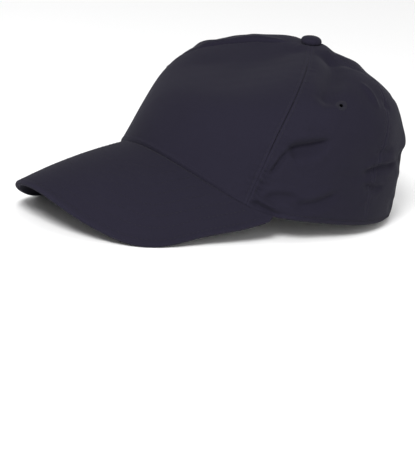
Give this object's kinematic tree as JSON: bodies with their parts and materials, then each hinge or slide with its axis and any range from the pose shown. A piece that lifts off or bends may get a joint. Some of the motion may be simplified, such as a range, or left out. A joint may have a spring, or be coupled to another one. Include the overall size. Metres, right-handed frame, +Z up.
{
  "type": "baseball cap",
  "caption": "Panelled fabric baseball cap with a curved stiffened brim, covered top button, stitched eyelets, inner sweatband and an open rear arch with a strap that peels open.",
  "frame": {"origin": "centre of the bounding box in plan, on the surface the cap stands on", "axes": "+Z up; the brim points along -Y, the rear arch and strap face +Y; +X is the wearer's left"},
  "size_m": [0.1658, 0.283, 0.1164],
  "materials": {
    "twill": "matt washed cotton twill, dark navy",
    "board": "plain sheet",
    "buckram": "stiff open mesh",
    "tape": "matt woven tape",
    "binding": "matt folded cotton binding",
    "sweatband": "soft cotton band",
    "strap": "matt cotton strap",
    "hook_pad": "hook side of a touch fastener",
    "loop_pad": "brushed loop side of a touch fastener",
    "thread": "satin embroidery thread",
    "metal": "plain stamped sheet",
    "label": "satin woven, blank"
  },
  "bodies": {
    "crown": {"brim_top_cover": "twill", "brim_under_cover": "twill", "brim_board": "board", "front_panel": "twill", "left_side_panel": "twill", "right_side_panel": "twill", "left_rear_panel": "twill", "right_rear_panel": "twill", "front_panel_buckram": "buckram", "front_left_seam_tape": "tape", "front_right_seam_tape": "tape", "side_left_seam_tape": "tape", "side_right_seam_tape": "tape", "rear_centre_seam_tape": "tape", "rear_arch_binding": "binding", "sweatband": "sweatband", "closure_strap_sewn_end": "strap", "closure_tab_sewn_end": "strap", "left_side_eyelet": "thread", "right_side_eyelet": "thread", "left_rear_eyelet": "thread", "right_rear_eyelet": "thread", "button_cover": "twill", "button_shell": "metal", "button_post": "metal", "button_back_washer": "metal", "care_label": "label"},
    "strap": {"closure_strap": "strap", "closure_hook_pad": "hook_pad"},
    "tab": {"closure_tab": "strap", "closure_loop_pad": "loop_pad"}
  },
  "joints": [
    {"name": "strap_opening", "type": "hinge", "parent": "crown", "child": "strap", "pos_m": [-0.0296, 0.13409, 0.01188], "axis": [0.0214, 0.0696, 0.9973], "range_deg": [0, 80]},
    {"name": "tab_bend", "type": "hinge", "parent": "crown", "child": "tab", "pos_m": [0.03303, 0.13242, 0.01213], "axis": [-0.0207, 0.0787, 0.9967], "range_deg": [0, 40]}
  ]
}
